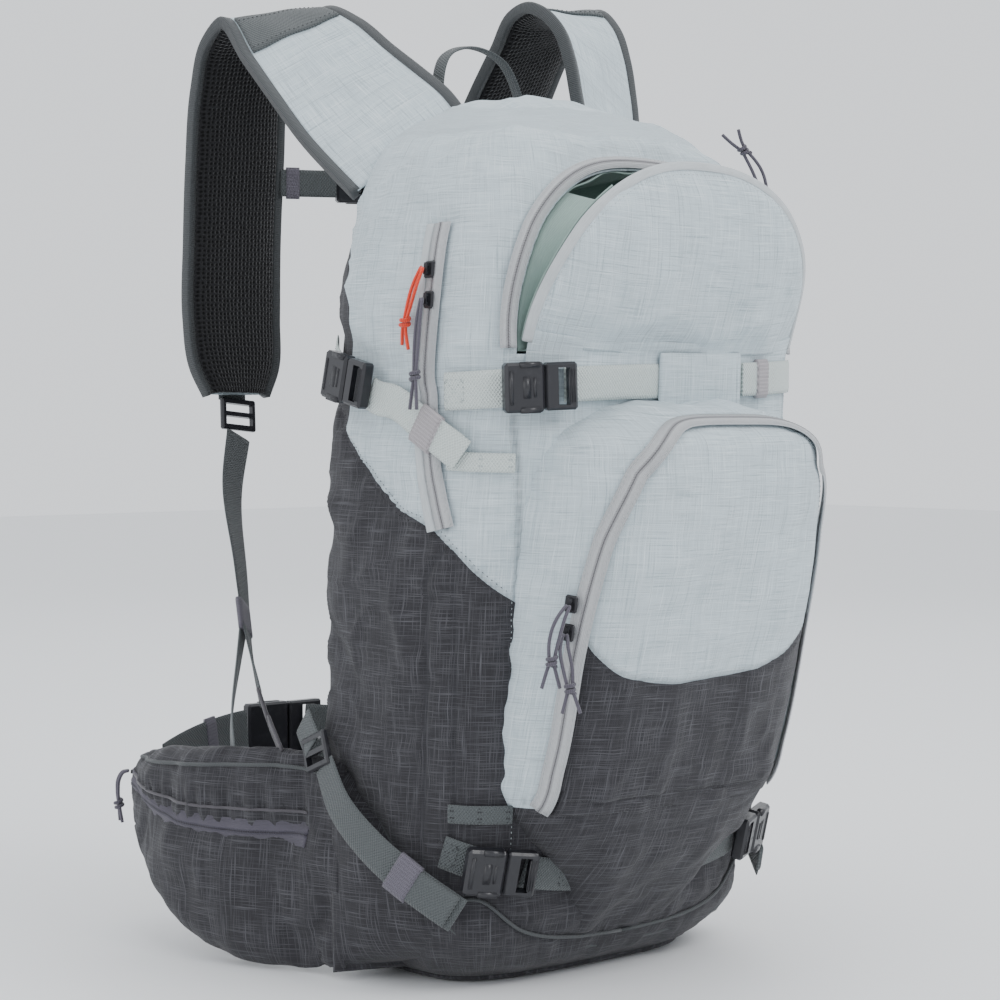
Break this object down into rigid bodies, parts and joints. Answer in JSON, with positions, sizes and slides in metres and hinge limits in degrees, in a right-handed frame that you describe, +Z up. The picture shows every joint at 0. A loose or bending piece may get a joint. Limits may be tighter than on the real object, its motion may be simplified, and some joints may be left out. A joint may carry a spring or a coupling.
{
  "type": "ski backpack",
  "caption": "Ski touring backpack with back access panel, goggle pocket flap, front pocket, hip belt, shoulder straps, zip sliders and side-release buckles.",
  "frame": {"origin": "under the middle of the whole pack, on the surface that it stands on", "axes": "+Z up, -Y the front face of the pack away from the wearer, +X the wearer's right"},
  "size_m": [0.348, 0.4618, 0.6065],
  "materials": {
    "light_fabric": "woven, matt",
    "dark_fabric": "woven, matt",
    "mesh_black": "spacer mesh",
    "frame_plastic": "satin",
    "lining": "smooth, slight sheen",
    "tape_light": "woven tape",
    "tape_dark": "woven tape",
    "slider_black": "satin black",
    "buckle_plastic": "semi gloss",
    "webbing_light": "flat webbing",
    "webbing_dark": "flat webbing",
    "cord_red": "braided",
    "cord_grey": "braided"
  },
  "bodies": {
    "bag": {"main_shell": "light_fabric", "base_panel": "dark_fabric", "goggle_pouch": "lining", "pocket_gusset": "light_fabric", "side_zip": "tape_light", "back_zip": "tape_dark", "goggle_zip": "tape_light", "pocket_zip": "tape_light", "front_buckle_female": "buckle_plastic", "front_strap": "webbing_light", "side_buckle_female_left": "buckle_plastic", "side_buckle_female_right": "buckle_plastic", "side_strap_left": "webbing_light", "lower_buckle_female_left": "buckle_plastic", "lower_buckle_female_right": "buckle_plastic", "shoulder_pad_left": "light_fabric", "shoulder_pad_right": "light_fabric", "shoulder_webbing_left": "webbing_dark", "shoulder_webbing_right": "webbing_dark", "hip_fin_left": "dark_fabric", "hip_fin_right": "dark_fabric", "hip_webbing_left": "webbing_dark", "hip_webbing_right": "webbing_dark", "hip_buckle_female": "buckle_plastic", "stabiliser_lock_left": "buckle_plastic", "stabiliser_lock_right": "buckle_plastic"},
    "back_panel": {"back_panel": "dark_fabric", "frame_sheet": "frame_plastic", "back_pad_left": "mesh_black", "back_pad_right": "mesh_black", "lumbar_pad": "mesh_black"},
    "goggle_flap": {"goggle_flap": "light_fabric"},
    "pocket_panel": {"pocket_panel": "light_fabric"},
    "sternum_strap": {"sternum_strap_left": "webbing_dark", "sternum_strap_right": "webbing_dark", "sternum_buckle_female": "buckle_plastic"},
    "sternum_buckle_male": {"sternum_buckle_male": "buckle_plastic"},
    "front_buckle_male": {"front_buckle_male": "buckle_plastic"},
    "side_buckle_male_left": {"side_buckle_male_left": "buckle_plastic"},
    "side_buckle_male_right": {"side_buckle_male_right": "buckle_plastic"},
    "lower_buckle_male_left": {"lower_buckle_male_left": "buckle_plastic"},
    "lower_buckle_male_right": {"lower_buckle_male_right": "buckle_plastic"},
    "hip_buckle_male": {"hip_buckle_male": "buckle_plastic"},
    "strap_adjuster_left": {"strap_adjuster_left": "buckle_plastic"},
    "strap_adjuster_right": {"strap_adjuster_right": "buckle_plastic"},
    "haul_loop": {"haul_loop": "webbing_dark"},
    "side_slider_upper": {"side_slider_upper": "slider_black"},
    "side_slider_lower": {"side_slider_lower": "slider_black"},
    "back_slider_left": {"back_slider_left": "slider_black"},
    "back_slider_right": {"back_slider_right": "slider_black"},
    "goggle_slider": {"goggle_slider": "slider_black"},
    "pocket_slider_upper": {"pocket_slider_upper": "slider_black"},
    "pocket_slider_lower": {"pocket_slider_lower": "slider_black"},
    "hip_slider_left": {"hip_slider_left": "slider_black"},
    "side_pull_upper": {"side_pull_upper": "cord_red"},
    "side_pull_lower": {"side_pull_lower": "cord_grey"},
    "goggle_pull": {"goggle_pull": "cord_grey"},
    "pocket_pull_upper": {"pocket_pull_upper": "cord_grey"},
    "pocket_pull_lower": {"pocket_pull_lower": "cord_grey"},
    "hip_pull_left": {"hip_pull_left": "cord_grey"}
  },
  "joints": [
    {"name": "back_panel_hinge", "type": "hinge", "parent": "bag", "child": "back_panel", "pos_m": [0, 0.0194, 0.092], "axis": [-1, 0, 0], "range_deg": [0, 12]},
    {"name": "goggle_flap_hinge", "type": "hinge", "parent": "bag", "child": "goggle_flap", "pos_m": [0, -0.1758, 0.369], "axis": [1, 0, 0], "range_deg": [-21.5, 45]},
    {"name": "pocket_panel_hinge", "type": "hinge", "parent": "bag", "child": "pocket_panel", "pos_m": [0, -0.1831, 0.116], "axis": [1, 0, 0], "range_deg": [0, 75]},
    {"name": "side_slider_upper_slide", "type": "slide", "parent": "bag", "child": "side_slider_upper", "axis": [-0.1576, -0.0461, -0.9864], "range_m": [-0.022, 0]},
    {"name": "side_slider_lower_slide", "type": "slide", "parent": "bag", "child": "side_slider_lower", "axis": [-0.0929, 0.0103, -0.9956], "range_m": [0, 0.03]},
    {"name": "back_slider_left_slide", "type": "slide", "parent": "bag", "child": "back_slider_left", "axis": [0.0176, 0.0116, -0.9998], "range_m": [-0.02, 0.009]},
    {"name": "back_slider_right_slide", "type": "slide", "parent": "bag", "child": "back_slider_right", "axis": [-0.0176, 0.0116, -0.9998], "range_m": [-0.02, 0.009]},
    {"name": "goggle_slider_slide", "type": "slide", "parent": "bag", "child": "goggle_slider", "axis": [0.6481, -0.1354, -0.7495], "range_m": [-0.006, 0.006]},
    {"name": "pocket_slider_upper_slide", "type": "slide", "parent": "bag", "child": "pocket_slider_upper", "axis": [-0.0113, 0.1772, -0.9841], "range_m": [-0.02, 0]},
    {"name": "pocket_slider_lower_slide", "type": "slide", "parent": "bag", "child": "pocket_slider_lower", "axis": [0.001, 0.1876, -0.9822], "range_m": [0, 0.06]},
    {"name": "hip_slider_left_slide", "type": "slide", "parent": "bag", "child": "hip_slider_left", "axis": [-0.722, -0.6919, 0], "range_m": [0, 0.015]},
    {"name": "side_pull_upper_swing", "type": "hinge", "parent": "side_slider_upper", "child": "side_pull_upper", "pos_m": [-0.14214, -0.11011, 0.42061], "axis": [0, 1, 0], "range_deg": [0, 60]},
    {"name": "side_pull_lower_swing", "type": "hinge", "parent": "side_slider_lower", "child": "side_pull_lower", "pos_m": [-0.14415, -0.11203, 0.40292], "axis": [0, 1, 0], "range_deg": [0, 60]},
    {"name": "goggle_pull_swing", "type": "hinge", "parent": "goggle_slider", "child": "goggle_pull", "pos_m": [0.10006, -0.1525, 0.46924], "axis": [1, 0, 0], "range_deg": [-20, 25]},
    {"name": "pocket_pull_upper_swing", "type": "hinge", "parent": "pocket_slider_upper", "child": "pocket_pull_upper", "pos_m": [-0.10673, -0.19335, 0.23112], "axis": [-0.5026, 0.8645, 0], "range_deg": [0, 60]},
    {"name": "pocket_pull_lower_swing", "type": "hinge", "parent": "pocket_slider_lower", "child": "pocket_pull_lower", "pos_m": [-0.10654, -0.19075, 0.21489], "axis": [-0.5026, 0.8645, 0], "range_deg": [0, 60]},
    {"name": "hip_pull_left_swing", "type": "hinge", "parent": "hip_slider_left", "child": "hip_pull_left", "pos_m": [-0.13988, 0.19458, 0.101], "axis": [0.7219, 0.6919, 0], "range_deg": [0, 60]},
    {"name": "front_buckle_male_release", "type": "slide", "parent": "bag", "child": "front_buckle_male", "axis": [0.9068, -0.4194, 0.0419], "range_m": [0, 0.016]},
    {"name": "side_buckle_male_left_release", "type": "slide", "parent": "bag", "child": "side_buckle_male_left", "axis": [-0.116, -0.9734, -0.1976], "range_m": [0, 0.015]},
    {"name": "side_buckle_male_right_release", "type": "slide", "parent": "bag", "child": "side_buckle_male_right", "axis": [0.116, -0.9734, -0.1976], "range_m": [0, 0.015]},
    {"name": "lower_buckle_male_left_release", "type": "slide", "parent": "bag", "child": "lower_buckle_male_left", "axis": [0.9055, -0.4119, -0.1017], "range_m": [0, 0.015]},
    {"name": "lower_buckle_male_right_release", "type": "slide", "parent": "bag", "child": "lower_buckle_male_right", "axis": [-0.9055, -0.4119, -0.1017], "range_m": [0, 0.015]},
    {"name": "hip_buckle_male_release", "type": "slide", "parent": "bag", "child": "hip_buckle_male", "axis": [1, 0, 0], "range_m": [0, 0.0225]},
    {"name": "sternum_strap_height", "type": "slide", "parent": "bag", "child": "sternum_strap", "axis": [0, 0, 1], "range_m": [-0.01, 0.01]},
    {"name": "sternum_buckle_male_release", "type": "slide", "parent": "sternum_strap", "child": "sternum_buckle_male", "axis": [0.8889, -0.4582, 0], "range_m": [0, 0.0135]},
    {"name": "strap_adjuster_left_tilt", "type": "hinge", "parent": "bag", "child": "strap_adjuster_left", "pos_m": [-0.0825, 0.1469, 0.3475], "axis": [1, 0, 0], "range_deg": [0, 25]},
    {"name": "strap_adjuster_right_tilt", "type": "hinge", "parent": "bag", "child": "strap_adjuster_right", "pos_m": [0.0825, 0.1174, 0.3625], "axis": [1, 0, 0], "range_deg": [0, 25]},
    {"name": "haul_loop_fold", "type": "hinge", "parent": "bag", "child": "haul_loop", "pos_m": [0, -0.0011, 0.524], "axis": [1, 0, 0], "range_deg": [-60, 35]}
  ]
}
